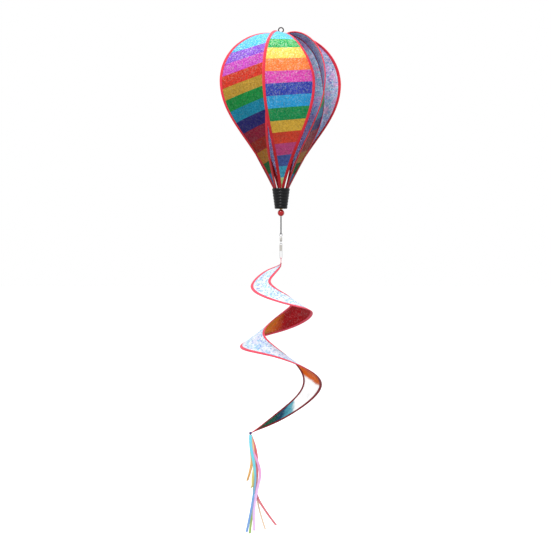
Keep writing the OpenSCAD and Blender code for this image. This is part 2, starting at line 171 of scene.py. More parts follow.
# Stripe dyes from the clamp down, for the two orders of stripes. Lower down they are painted darker, as
# painted shade on the leaves' lower parts: the even order's last six repeat its rainbow in painted shade.
STRIPES_EVEN = [dye(70, 180, 224), dye(130, 76, 198), dye(184, 64, 176), dye(188, 48, 34),
                dye(166, 130, 46), dye(10, 118, 54), dye(14, 114, 142), dye(30, 28, 92),
                dye(118, 20, 46), dye(126, 30, 22), dye(146, 94, 30), dye(10, 78, 36),
                dye(24, 100, 140), dye(50, 50, 120)]
STRIPES_ODD = [dye(60, 178, 222), dye(36, 164, 92), dye(248, 208, 92), dye(246, 124, 60),
               dye(208, 64, 170), dye(44, 64, 166), dye(30, 148, 204), dye(12, 132, 74),
               dye(200, 160, 58), dye(192, 60, 42), dye(170, 62, 112), dye(58, 76, 136),
               dye(54, 140, 166), dye(150, 180, 120)]
STRIPE_W = 26 * MM
STRIPE_START = 40 * MM      # how far down the leaf the first whole stripe begins
EVEN_SHIFT = 16 * MM        # how much lower the even leaves' stripes are
STRIPE_TILT = {0: 0.25, 1: 0.12}    # their rise to the trailing edge, for even and odd leaves

# Places along the tail's underside, from 0 to 1, and the dyes there. The white stretch from 0.75 to 0.858,
# fading into pale teal, is a painted highlight.
TAIL_DYES_AND_PAINTED_HIGHLIGHT = [(0.0, dye(176, 20, 30)), (0.365, dye(168, 18, 26)), (0.39, dye(206, 96, 20)),
             (0.43, dye(236, 150, 40)), (0.50, dye(204, 78, 18)), (0.738, dye(240, 108, 24)),
             (0.75, WHITE), (0.858, WHITE), (0.868, dye(120, 200, 218)), (0.888, dye(84, 176, 200)),
             (0.9, dye(20, 72, 112)), (0.93, dye(18, 90, 70)), (0.97, dye(24, 100, 60))]
TAIL_PAINTED_HIGHLIGHT_GLOW = [(0.742, BLACK), (0.752, WHITE), (0.858, WHITE), (0.868, BLACK)]   # painted highlight: the white stretch glows, though it is no lamp
# Each ribbon's upper and lower tone, blended down its length; the sky ribbon's change from cyan to blue is
# painted shade
RIBBON_DYES = {
    "sky": (dye(56, 210, 230), dye(92, 160, 236)), "coral": (dye(226, 78, 98), dye(212, 72, 88)),
    "orange": (dye(252, 176, 70), dye(226, 170, 56)), "yellow": (dye(255, 236, 120), dye(230, 212, 72)),
    "lilac": (dye(238, 150, 210), dye(240, 190, 244)), "green": (dye(196, 226, 96), dye(160, 206, 54)),
    "peach": (dye(255, 236, 210), dye(252, 222, 190)),
}

# About how long the cloth is, for colours that change along it: painted light and shade on the tapes, and the
# ribbons' two tones
LEAF_LENGTH = 425 * MM
TAIL_LENGTH = 850 * MM
RIBBON_LENGTH = 230 * MM


# Camera

def place_camera():
    lens = bpy.data.cameras.new("camera")
    lens.lens = 81.7
    lens.sensor_width = 36
    lens.clip_end = 100
    camera = bpy.data.objects.new("camera", lens)
    camera.location = (-0.0118, -2.69, -0.528)
    camera.rotation_euler = (math.radians(90), 0, 0)
    scene.collection.objects.link(camera)
    scene.camera = camera


# Shader tools

class Value:
    """A shader value. Arithmetic on it adds Math nodes to its tree."""

    def __init__(self, maker, socket):
        self.maker, self.socket = maker, socket

    def _math(self, operation, a, b=None):
        sockets = {0: a} if b is None else {0: a, 1: b}
        return self.maker.value("ShaderNodeMath", 0, {"operation": operation}, sockets)

    def __add__(self, other):
        return self._math("ADD", self, other)

    def __sub__(self, other):
        return self._math("SUBTRACT", self, other)

    def __mul__(self, other):
        return self._math("MULTIPLY", self, other)

    def __truediv__(self, other):
        return self._math("DIVIDE", self, other)

    def __pow__(self, other):
        return self._math("POWER", self, other)

    def above(self, other):
        return self._math("GREATER_THAN", self, other)

    def sine(self):
        return self._math("SINE", self)


class Maker:
    """Adds nodes to one node tree."""

    def __init__(self, tree):
        self.tree = tree
        tree.nodes.clear()

    def add(self, kind, settings=None, sockets=None):
        """A node of that kind, with its settings first and then the values or links of its sockets."""
        node = self.tree.nodes.new(kind)
        for name, setting in (settings or {}).items():
            if name == "stops":
                self._set_stops(node.color_ramp, setting)
            else:
                setattr(node, name, setting)
        for name, value in (sockets or {}).items():
            if isinstance(value, Value):
                self.tree.links.new(value.socket, node.inputs[name])
            else:
                node.inputs[name].default_value = value
        return node

    @staticmethod
    def _set_stops(ramp, stops):
        for element, (place, colour) in zip(ramp.elements, (stops[0], stops[-1])):
            element.position = place
            element.color = colour
        for place, colour in stops[1:-1]:
            ramp.elements.new(place).color = colour

    def value(self, kind, output, settings=None, sockets=None):
        return Value(self, self.add(kind, settings, sockets).outputs[output])

    def outputs(self, kind, names, settings=None, sockets=None):
        node = self.add(kind, settings, sockets)
        return [Value(self, node.outputs[name]) for name in names]


class Finish(Maker):
    """A material under construction."""

    def __init__(self, name):
        self.material = bpy.data.materials.new(name)
        self.material.use_nodes = True
        super().__init__(self.material.node_tree)

    def principled(self, settings):
        shader = self.add("ShaderNodeBsdfPrincipled", {}, settings)
        output = self.add("ShaderNodeOutputMaterial")
        self.tree.links.new(shader.outputs[0], output.inputs[0])
        return self.material

    def place(self):
        return self.value("ShaderNodeTexCoord", "Object")

    def cut(self):
        """Where a point lies on the flat cloth: across it, along it."""
        return self.value("ShaderNodeAttribute", "Vector", {"attribute_name": "cut"})

    def parts(self, vector):
        return self.outputs("ShaderNodeSeparateXYZ", ["X", "Y", "Z"], {}, {0: vector})

    def vector(self, x, y, z):
        return self.value("ShaderNodeCombineXYZ", 0, {}, {0: x, 1: y, 2: z})

    def blend(self, share, a, b, way="MIX"):
        return self.value("ShaderNodeMix", 2, {"data_type": "RGBA", "blend_type": way},
                          {0: share, 6: a, 7: b})

    def shaded(self, colour, shade):
        """The colour made darker or lighter by a number round 1."""
        return self.blend(1.0, colour, self.vector(shade, shade, shade), "MULTIPLY")

    def vector_math(self, operation, first, sockets):
        return self.value("ShaderNodeVectorMath", 0, {"operation": operation}, {0: first, **sockets})

    def vary(self, value, low, high):
        """A 0 to 1 value stretched from low to high."""
        return self.value("ShaderNodeMapRange", 0, {}, {0: value, 3: low, 4: high})

    def noise(self, place, size, detail=3.0, rough=0.5):
        return self.value("ShaderNodeTexNoise", "Fac", {},
                          {"Vector": place, "Scale": 1 / size, "Detail": detail, "Roughness": rough})

    def bump(self, height, depth, strength, normal=None):
        sockets = {"Strength": strength, "Distance": depth, "Height": height}
        if normal is not None:
            sockets["Normal"] = normal
        return self.value("ShaderNodeBump", 0, {}, sockets)

    def ramp(self, value, stops):
        return self.value("ShaderNodeValToRGB", 0, {"stops": stops}, {0: value})

    def stepped(self, value, stops):
        """A ramp whose colours change at once at each stop."""
        node = self.add("ShaderNodeValToRGB", {"stops": stops}, {0: value})
        node.color_ramp.interpolation = "CONSTANT"
        return Value(self, node.outputs[0])


def flecks(finish, cut, size, seed, tilt, normal):
    """Holographic flecks pressed into film: each one's random colour and its own slight tilt."""
    shifted = finish.vector_math("ADD", cut, {1: (seed, seed * 0.7, 0)})
    colour = finish.value("ShaderNodeTexVoronoi", "Color", {"voronoi_dimensions": "2D"},
                          {"Vector": shifted, "Scale": 1 / size})
    lean = finish.vector_math("SUBTRACT", colour, {1: (0.5, 0.5, 0.5)})
    lean = finish.vector_math("SCALE", lean, {"Scale": tilt})
    tipped = finish.vector_math("ADD", normal, {1: lean})
    return colour, finish.vector_math("NORMALIZE", tipped, {})


def fleck_share(finish, colour, channel, share):
    """A mask that picks that share of the flecks by one channel of their random colour."""
    return finish.parts(colour)[channel].above(1 - share)


def film_wrinkles(finish, cut):
    """Fine crinkles and faint weave of the film's backing, as one bump."""
    across, along, _ = finish.parts(cut)
    crinkle = finish.noise(cut, 9 * MM, 4.0, 0.6)
    thread = (across / (0.5 * MM) * math.tau).sine() * (along / (0.5 * MM) * math.tau).sine()
    crinkled = finish.bump(crinkle, 0.7 * MM, 0.5)
    return finish.bump(thread, 0.03 * MM, 0.35, crinkled)


def striped_film(name, dyes_and_shade, calm):
    """Printed stripes on glitter film, with pale and golden flecks that are painted glints: strong at the top
    of the leaf, where the light falls, and few from the stripe numbered calm downwards."""
    finish = Finish(name)
    cut = finish.cut()
    stripe_at = finish.value("ShaderNodeAttribute", "Fac", {"attribute_name": "stripe"})
    stops = [(i / len(dyes_and_shade), colour) for i, colour in enumerate(dyes_and_shade)]
    print_and_painted_light = finish.stepped(stripe_at / len(dyes_and_shade), stops)
    fine, facets = flecks(finish, cut, 1.1 * MM, 0.0, 0.55, film_wrinkles(finish, cut))
    coarse, facets = flecks(finish, cut, 2.4 * MM, 0.31, 0.45, facets)
    cloudy = finish.vary(finish.noise(cut, 30 * MM, 2.0), 0.82, 1.15)
    shade = finish.vary(finish.parts(fine)[0], 0.72, 1.2) * cloudy
    toned = finish.shaded(print_and_painted_light, shade)
    # painted glints: flecks turn pale and golden near the top of the leaf, where the light falls, and fade
    # out towards the stripe numbered calm
    painted_glint_crown = finish.value("ShaderNodeMapRange", 0, {}, {0: stripe_at, 1: 0.5, 2: calm, 3: 1.0, 4: 0.08})
    golden = finish.blend(0.5, print_and_painted_light, finish.blend(0.35, dye(255, 226, 90), WHITE))
    bright = finish.blend(fleck_share(finish, fine, 2, 0.3) * painted_glint_crown * 0.4, toned, golden)
    tinted = finish.blend(0.55, print_and_painted_light, finish.blend(0.5, coarse, WHITE))
    glint = finish.blend(fleck_share(finish, coarse, 1, 0.2) * painted_glint_crown * 0.5, bright, tinted)
    return finish.principled({
        "Base Color": glint, "Metallic": 0.12, "Roughness": finish.vary(finish.parts(fine)[1], 0.32, 0.55),
        "Normal": facets, "Specular IOR Level": 0.06})


def silver_film(name, tones, speckle_size, glitter_share):
    """The silver side of the film, with soft rainbow clouds, and blue to cyan speckles."""
    finish = Finish(name)
    cut = finish.cut()
    fine, facets = flecks(finish, cut, 1.2 * MM, 0.17, 0.5, film_wrinkles(finish, cut))
    coarse, facets = flecks(finish, cut, speckle_size, 0.53, 0.4, facets)
    clouds = finish.ramp(finish.noise(cut, 38 * MM, 2.0), tones)
    speckle = finish.blend(finish.parts(coarse)[2], dye(96, 128, 232), dye(124, 226, 230))
    mixed = finish.blend(fleck_share(finish, coarse, 0, glitter_share) * 0.7, clouds, speckle)
    shade = finish.vary(finish.parts(fine)[1], 0.78, 1.12)
    toned = finish.shaded(mixed, shade)
    glint = finish.blend(fleck_share(finish, fine, 2, 0.12) * 0.7, toned, WHITE)
    return finish.principled({
        "Base Color": glint, "Metallic": 0.12, "Roughness": finish.vary(finish.parts(fine)[0], 0.25, 0.45),
        "Normal": facets})


def tail_film(name):
    """The tail's underside print: colours that change along it, with creased facets. Its white stretch,
    fading into pale teal, is a painted highlight that glows by emission.
    """
    finish = Finish(name)
    cut = finish.cut()
    share = finish.value("ShaderNodeAttribute", "Fac", {"attribute_name": "stripe"})
    ragged = share + (finish.noise(cut, 12 * MM, 2.0) - 0.5) * 0.02
    print_and_painted_light = finish.ramp(ragged, TAIL_DYES_AND_PAINTED_HIGHLIGHT)
    creases, facets = flecks(finish, cut, 14 * MM, 0.11, 0.5, film_wrinkles(finish, cut))
    fine, facets = flecks(finish, cut, 1.3 * MM, 0.71, 0.3, facets)
    shade = finish.vary(finish.parts(creases)[0], 0.88, 1.2) * finish.vary(finish.parts(fine)[0], 0.9, 1.15)
    toned = finish.shaded(print_and_painted_light, shade)
    glint = finish.blend(fleck_share(finish, fine, 2, 0.08) * 0.25, toned, finish.blend(0.6, print_and_painted_light, WHITE))
    return finish.principled({
        "Base Color": glint, "Metallic": 0.05, "Roughness": finish.vary(finish.parts(fine)[1], 0.28, 0.45),
        # painted highlight: the white stretch is made to glow
        "Normal": facets, "Specular IOR Level": 0.06, "Emission Color": finish.ramp(ragged, TAIL_PAINTED_HIGHLIGHT_GLOW),
        "Emission Strength": 0.35})


def woven_tape(name, length, tones):
    """Red polyester binding tape: a fine rib across it, a satin lustre and tones along its length, which are
    painted light and shade.
    """
    finish = Finish(name)
    cut = finish.cut()
    across, along, _ = finish.parts(cut)
    rib = (along / (0.55 * MM) * math.tau).sine() * 0.5 + 0.5
    yarn = (across / (0.4 * MM) * math.tau).sine() * 0.5 + 0.5
    worn = finish.noise(cut, 18 * MM, 4.0)
    # the tones along the tape are painted light and shade
    colour = finish.ramp(along / length, tones)
    shaded = finish.blend(1.0, colour, dye(204, 176, 180), "MULTIPLY")
    base = finish.blend(finish.vary(worn, 0.0, 0.55) + rib * 0.12, colour, shaded)
    normal = finish.bump(rib * 0.7 + yarn * 0.3, 0.08 * MM, 0.6)
    return finish.principled({
        "Base Color": base, "Roughness": finish.vary(worn, 0.42, 0.6), "Normal": normal,
        "Sheen Weight": 0.15, "Sheen Roughness": 0.4, "Sheen Tint": (1.0, 0.6, 0.62, 1.0),
        "Specular IOR Level": 0.25})


def satin_ribbon(name, upper, lower):
    """Thin streamer ribbon: fine lengthwise yarns, selvedges a little darker, and soft paler patches that are
    a painted sheen.
    """
    finish = Finish(name)
    cut = finish.cut()
    across, along, _ = finish.parts(cut)
    base = finish.ramp(along / RIBBON_LENGTH, [(0.0, upper), (0.3, upper), (0.65, lower)])
    yarn = (across / (0.35 * MM) * math.tau).sine() * 0.5 + 0.5
    weft = (along / (0.5 * MM) * math.tau).sine() * 0.5 + 0.5
    soft = finish.noise(cut, 16 * MM, 3.0)
    # painted sheen: soft patches mixed towards white
    lit = finish.blend(finish.vary(soft, 0.0, 0.28), base, WHITE)
    edge = (across * across / (RIBBON_W * RIBBON_W / 4)) ** 8
    toned = finish.blend(edge * 0.35, lit, lower)
    return finish.principled({
        "Base Color": toned, "Roughness": finish.vary(soft, 0.32, 0.5),
        "Normal": finish.bump(yarn * 0.6 + weft * 0.4, 0.05 * MM, 0.5),
        "Sheen Weight": 0.3, "Sheen Roughness": 0.35})


def drawn_wire(name, colour, rough_low, rough_high):
    """Drawn metal wire with faint lengthwise draw marks and duller patches."""
    finish = Finish(name)
    place = finish.place()
    stretched = finish.value("ShaderNodeMapping", 0, {}, {0: place, "Scale": (1, 1, 0.08)})
    marks = finish.noise(stretched, 0.6 * MM, 4.0)
    patches = finish.noise(place, 8 * MM, 3.0)
    base = finish.blend(finish.vary(patches, 0.0, 0.35), colour, dye(52, 50, 50))
    return finish.principled({
        "Base Color": base, "Metallic": 1.0, "Roughness": finish.vary(patches, rough_low, rough_high),
        "Normal": finish.bump(marks, 0.05 * MM, 0.35)})


def turned_metal(name, colour):
    """Plated, turned or pressed metal with fine rings and a little tarnish."""
    finish = Finish(name)
    place = finish.place()
    flat = finish.value("ShaderNodeMapping", 0, {}, {0: place, "Scale": (0.06, 0.06, 1)})
    rings = finish.noise(flat, 0.35 * MM, 3.0)
    tarnish = finish.noise(place, 3 * MM, 4.0)
    base = finish.blend(finish.vary(tarnish, 0.0, 0.4), colour, dye(120, 112, 104))
    return finish.principled({
        "Base Color": base, "Metallic": 1.0, "Roughness": finish.vary(tarnish, 0.18, 0.4),
        "Normal": finish.bump(rings, 0.04 * MM, 0.4)})


def moulded_plastic(name, colour, worn, rough_low, rough_high, coat, shine=0.5):
    """Moulded plastic with a fine grain, dull scuffs and paler rubbed patches."""
    finish = Finish(name)
    place = finish.place()
    grain = finish.noise(place, 0.5 * MM, 3.0)
    scuffs = finish.noise(place, 7 * MM, 5.0, 0.65)
    rubbed = finish.vary(scuffs, -0.5, 0.6)
    base = finish.blend(rubbed, colour, worn)
    return finish.principled({
        "Base Color": base, "Roughness": finish.vary(scuffs, rough_low, rough_high),
        "Normal": finish.bump(grain, 0.06 * MM, 0.3), "Coat Weight": coat, "Coat Roughness": 0.12,
        "Specular IOR Level": shine})


def cork(name):
    finish = Finish(name)
    place = finish.place()
    grain = finish.noise(place, 2.5 * MM, 5.0, 0.7)
    pits = finish.value("ShaderNodeTexVoronoi", "Distance", {}, {"Vector": place, "Scale": 1 / (2 * MM)})
    base = finish.blend(grain, dye(176, 128, 82), dye(110, 72, 42))
    return finish.principled({
        "Base Color": base, "Roughness": finish.vary(pits, 0.7, 0.9),
        "Normal": finish.bump(pits, 0.3 * MM, 0.6)})


def sewing_thread(name, colour, dark):
    """Twisted thread: the ply shows as slanted light and dark turns."""
    finish = Finish(name)
    x, y, z = finish.parts(finish.place())
    ply = ((x + y + z) / (0.45 * MM) * math.tau).sine() * 0.5 + 0.5
    return finish.principled({
        "Base Color": finish.blend(ply * 0.5, colour, dark), "Roughness": finish.vary(ply, 0.45, 0.6),
        "Normal": finish.bump(ply, 0.06 * MM, 0.5), "Sheen Weight": 0.3})


def pale_paint(name):
    finish = Finish(name)
    mottle = finish.noise(finish.place(), 0.5, 2.0)
    return finish.principled({
        "Base Color": finish.blend(mottle, (0.97, 0.97, 0.97, 1), (0.95, 0.95, 0.95, 1)),
        "Roughness": finish.vary(mottle, 0.8, 0.9), "Emission Color": WHITE, "Emission Strength": 0.45})


# Mesh tools

def skin(name, rings, faces):
    mesh = bpy.data.meshes.new(name)
    mesh.from_pydata(rings.reshape(-1, 3).tolist(), [], faces)
    return mesh


def ring_faces(rows, points, bands):
    """The faces of that many bands between rows of points. The band after the last row ends at the first."""
    faces = []
    for j in range(bands):
        low, high = j * points, (j + 1) % rows * points
        for i in range(points):
            after = (i + 1) % points
            faces.append((low + i, low + after, high + after, high + i))
    return faces


def loft(name, rings):
    """A mesh skinned over rings of points, an array of row, point and xyz, with closed ends."""
    rows, points = rings.shape[:2]
    faces = ring_faces(rows, points, rows - 1)
    faces.append(tuple(reversed(range(points))))
    faces.append(tuple(range((rows - 1) * points, rows * points)))
    return skin(name, rings, faces)


def face_outwards(mesh):
    work = bmesh.new()
    work.from_mesh(mesh)
    bmesh.ops.recalc_face_normals(work, faces=work.faces)
    work.to_mesh(mesh)
    work.free()


def note(mesh, name, values):
    """Keeps one vector or number for each point of the mesh."""
    values = np.asarray(values, np.float32)
    kind, field = ("FLOAT_VECTOR", "vector") if values.ndim == 2 else ("FLOAT", "value")
    mesh.attributes.new(name, kind, "POINT").data.foreach_set(field, values.ravel())


def cut_places(mesh):
    """Where each point lies on the flat cloth, as note() kept it."""
    places = np.zeros(len(mesh.vertices) * 3, np.float32)
    mesh.attributes["cut"].data.foreach_get("vector", places)
    return places.reshape(-1, 3)


def joined(name, meshes):
    """Several meshes as one, with their attributes and material numbers kept."""
    objects = [bpy.data.objects.new(name, mesh) for mesh in meshes]
    for o in objects:
        scene.collection.objects.link(o)
    with bpy.context.temp_override(active_object=objects[0], object=objects[0],
                                   selected_objects=objects, selected_editable_objects=objects):
        bpy.ops.object.join()
    mesh = objects[0].data
    bpy.data.objects.remove(objects[0])
    return mesh


def piece(name, mesh, materials, body, nodes=(), sharp=40):
    """A finished piece at the origin, riding on a body and standing for those CAD nodes."""
    mesh.name = name
    if mesh.materials:
        mesh.materials.clear()
    for material in materials:
        mesh.materials.append(material)
    mesh.shade_smooth()
    mesh.set_sharp_from_angle(angle=math.radians(sharp))
    made = bpy.data.objects.new(name, mesh)
    scene.collection.objects.link(made)
    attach(made, body)
    if nodes:
        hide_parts(*nodes)
    return made


def lathe(name, profile, sides=96):
    """A closed profile of radius and height turned about the wire."""
    turns = np.linspace(0, math.tau, sides, endpoint=False)
    rings = np.array([[[r * math.cos(t), r * math.sin(t), z] for r, z in profile] for t in turns])
    rows, points = rings.shape[:2]
    faces = ring_faces(rows, points, rows)
    mesh = skin(name, rings, faces)
    face_outwards(mesh)
    return mesh


def tube(name, path, radius, sides=16):
    """A round wire along a path of points, with domed ends."""
    path = np.asarray(path, float)
    tangents = np.gradient(path, axis=0)
    tangents /= np.linalg.norm(tangents, axis=1)[:, None]
    side = np.cross(tangents[0], [0.31, 0.87, 0.38])
    rings = []
    for point, tangent in zip(path, tangents):
        side = side - tangent * side.dot(tangent)
        side /= np.linalg.norm(side)
        other = np.cross(tangent, side)
        rings.append([point + radius * (math.cos(a) * side + math.sin(a) * other)
                      for a in np.linspace(0, math.tau, sides, endpoint=False)])
    caps = []
    for end, tangent, ring in ((0, -tangents[0], rings[0]), (-1, tangents[-1], rings[-1])):
        centre = path[end]
        caps.append([[centre + (np.array(p) - centre) * math.cos(lift) + tangent * radius * math.sin(lift)
                      for p in ring] for lift in (math.radians(35), math.radians(70))])
    rings = [caps[0][1], caps[0][0]] + rings + caps[1]
    mesh = loft(name, np.array(rings))
    face_outwards(mesh)
    return mesh


def polished_copy(node, name, material, body, sharp=35):
    """A CAD part with its corners merged and its round faces smooth."""
    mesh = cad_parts[node].data.copy()
    work = bmesh.new()
    work.from_mesh(mesh)
    bmesh.ops.remove_doubles(work, verts=work.verts, dist=0.002 * MM)
    bmesh.ops.recalc_face_normals(work, faces=work.faces)
    work.to_mesh(mesh)
    work.free()
    return piece(name, mesh, [material], body, [node], sharp)


# Curves of the leaves and the tail

def bezier(a, b, c, d, t):
    a, b, c, d = (np.array(p) for p in (a, b, c, d))
    return (1 - t) ** 3 * a + 3 * (1 - t) ** 2 * t * b + 3 * (1 - t) * t * t * c + t ** 3 * d


def seat_radius(z):
    """How far out the leaf ends lie, just inside the basket's wall."""
    wall = RIM_R - BASKET_WALL - (RIM_R - FLOOR_R) * (RIM_Z - z) / BASKET_H
    return wall - FOLD_HALF - 0.3 * MM


NECK = (seat_radius(RIM_Z), RIM_Z)
SEAT = (seat_radius(RIM_Z - SEAT_H), RIM_Z - SEAT_H)


def leaf_edge(u, wide, drop, shoulder, belly):
    """Radius and height of a leaf's edge. u is -1 in the clamp, 0 at its rim, 1 where the leaf is
    widest, 2 at the basket's rim and 3 at the lower end."""
    if u < 0:
        return np.array([CLAMP_R + u * CLAMP_GRIP, LEAF_Z])
    if u < 1:
        (share, rise), (far, dip) = shoulder
        return bezier((CLAMP_R, LEAF_Z), (wide * share, LEAF_Z + rise),
                      (wide * far, LEAF_Z - dip), (wide, LEAF_Z - drop), u)
    if u < 2:
        upper, (far, lower) = belly
        return bezier((wide, LEAF_Z - drop), (wide, LEAF_Z - BALLOON_H * upper),
                      (wide * far, LEAF_Z - BALLOON_H * lower), NECK, u - 1)
    return np.array(NECK) + (u - 2) * (np.array(SEAT) - np.array(NECK))


def lead_edge(u):
    return leaf_edge(u, LEAD_R, LEAD_DROP, ((0.34, CROWN_RISE), (0.98, 18 * MM)), (0.56, (0.42, 0.7)))


def trail_edge(u):
    return leaf_edge(u, TRAIL_R, TRAIL_DROP, ((0.31, CROWN_RISE / 2), (0.99, 28 * MM)), (0.59, (0.62, 0.725)))


def spread(z):
    """The angle between a leaf's two edges at a height."""
    t = (LEAF_Z - z) / BALLOON_H
    if t <= 0:
        return CLAMP_SPREAD
    if t < WIDE_AT:
        return WIDE_SPREAD - (WIDE_SPREAD - CLAMP_SPREAD) * (1 - t / WIDE_AT) ** 1.5
    if t < 1:
        return WIDE_SPREAD - (WIDE_SPREAD - 2 * SEAT_ANGLE) * ((t - WIDE_AT) / (1 - WIDE_AT)) ** 1.3
    return 2 * SEAT_ANGLE


def around(radius, angle, z):
    """A point at an angle in degrees from the front."""
    return [radius * math.sin(math.radians(angle)), -radius * math.cos(math.radians(angle)), z]


def through(stations, s):
    """A smooth curve through the stations, s from 0 to 1."""
    last = len(stations) - 1
    i = min(int(s * last), last - 1)
    t = s * last - i
    a, b = stations[max(i - 1, 0)], stations[i]
    c, d = stations[i + 1], stations[min(i + 2, last)]
    bend, twist = 2 * a - 5 * b + 4 * c - d, 3 * b - a - 3 * c + d
    return 0.5 * (2 * b + (c - a) * t + bend * t * t + twist * t ** 3)


def tail_edges(s):
    angle, outer, outer_drop, inner, inner_drop = through(TAIL, s)
    ahead = OUTER_LEAD * max(math.sin(math.pi * s), 0) ** 0.6
    a, b = math.radians(angle), math.radians(angle - ahead)
    return ([TAIL_R * outer * math.cos(a), TAIL_R * outer * math.sin(a), TAIL_Z - TAIL_H * outer_drop],
            [TAIL_R * inner * math.cos(b), TAIL_R * inner * math.sin(b), TAIL_Z - TAIL_H * inner_drop])


def even_steps(curve, start, end, rows):
    """Parameters that divide a curve into even lengths."""
    samples = np.linspace(start, end, 1600)
    points = np.array([curve(s) for s in samples])
    run = np.concatenate([[0], np.cumsum(np.linalg.norm(np.diff(points, axis=0), axis=1))])
    return np.interp(np.linspace(0, run[-1], rows), run, samples)


class Strip:
    """A strip of film between two edges, with one point of each edge in every row."""

    def __init__(self, first, second):
        self.first, self.second = np.array(first), np.array(second)
        middle = (self.first + self.second) / 2
        self.middle = middle
        self.down = np.concatenate([[0], np.cumsum(np.linalg.norm(np.diff(middle, axis=0), axis=1))])
        self.width = np.linalg.norm(self.second - self.first, axis=1)
        self.across = (self.second - self.first) / self.width[:, None]
        out = np.cross(np.gradient(middle, axis=0), self.across)
        self.out = out / np.linalg.norm(out, axis=1)[:, None]
        self.band = np.minimum(BAND_W, 0.46 * self.width)
        self.rows = len(self.width)

    def place(self, row, inward, off, from_second=False):
        if from_second:
            return self.second[row] - inward * self.across[row] + off * self.out[row]
        return self.first[row] + inward * self.across[row] + off * self.out[row]

    def pocket(self, row):
        return min(FOLD_LEN, 0.85 * self.band[row])

    def area(self):
        return float(np.sum(np.diff(self.down) * (self.width[1:] + self.width[:-1]) / 2))


def film_mesh(name, strip, columns, buckle):
    """The film as a thin closed shell: its out side has material 0 and its back has material 1.
    It puckers a little where the binding is sewn on, and lies flat inside the binding."""
    phases = np.linspace(0, 1, columns)
    rings, cuts = [], []
    for row in range(strip.rows):
        width, band, pocket = strip.width[row], strip.band[row], strip.pocket(row)
        ring, cut = [], []
        for side, share in [(1, p) for p in phases] + [(-1, p) for p in phases[::-1]]:
            inward = pocket + share * (width - 2 * pocket)
            edge = min(inward, width - inward) - band
            pucker = 0.0
            if edge > 0:
                fade = min(edge / FADE_W, 1) ** 2
                near = math.exp(-edge / PUCKER_W)
                wave = math.sin(strip.down[row] / PUCKER_PITCH * math.tau + 4 * share)
                slow = math.sin(strip.down[row] / BILLOW_PITCH * math.tau + 2.5 * share)
                pucker = fade * (buckle * near * wave + buckle * slow * (1 - near))
            ring.append(strip.place(row, inward, side * FILM_T / 2 + pucker))
            cut.append([inward, strip.down[row], 0])
        rings.append(ring)
        cuts.append(cut)
    mesh = loft(name, np.array(rings))
    note(mesh, "cut", np.array(cuts).reshape(-1, 3))
    loop = 2 * columns
    one_row = [1 if columns - 1 < i < loop - 1 else 0 for i in range(loop)]
    mesh.polygons.foreach_set("material_index", one_row * (strip.rows - 1) + [0, 0])
    face_outwards(mesh)
    return mesh


def tape_section(band, pocket):
    """The folded binding's cross-section: two lips on the film and a round nose over the spring."""
    nose = pocket / 2
    lip = FILM_T / 2 + FIT
    outer = [(band - 0.15 * MM, BAND_HALF), (band * 0.75, BAND_HALF + 0.03 * MM),
             (pocket + 0.5 * MM, BAND_HALF + 0.1 * MM)]
    outer = [point for point in outer if point[0] > pocket]
    round_nose = [(nose - FOLD_HALF * min(1, nose / FOLD_HALF) * math.sin(a), FOLD_HALF * math.cos(a))
                  for a in np.linspace(0, math.pi, 11)]
    lower = [(x, -y) for x, y in reversed(outer)]
    tip = [(band, -BAND_HALF + 0.15 * MM), (band - 0.1 * MM, -lip)]
    hollow_r = HEM_R + FIT
    hollow = [(nose - hollow_r * math.sin(a), -hollow_r * math.cos(a)) for a in np.linspace(0, math.pi, 9)]
    top_tip = [(band - 0.1 * MM, lip), (band, BAND_HALF - 0.15 * MM)]
    return outer + round_nose + lower + tip + hollow + top_tip


def tape_mesh(name, strip, from_second):
    """The binding on one edge. Its section keeps one number of points in every row."""
    rings, cuts = [], []
    for row in range(strip.rows):
        band, pocket = strip.band[row], strip.pocket(row)
        section = tape_section(max(band, pocket + 0.9 * MM), pocket)
        rings.append([strip.place(row, inward, off, from_second) for inward, off in section])
        cuts.append([[inward, strip.down[row], 0] for inward, off in section])
    count = min(len(ring) for ring in rings)

    def thinned(ring):
        return [ring[round(i * (len(ring) - 1) / (count - 1))] for i in range(count)]
    mesh = loft(name, np.array([thinned(ring) for ring in rings]))
    note(mesh, "cut", np.array([thinned(cut) for cut in cuts]).reshape(-1, 3))
    face_outwards(mesh)
    return mesh


def hem_mesh(name, strip, from_second):
    """The thin spring wire that lies in the binding's fold."""
    path = [strip.place(row, strip.pocket(row) / 2, 0, from_second) for row in range(strip.rows)]
    return tube(name, path, HEM_R, 10)


# Stitches along the bindings, made with a node tree

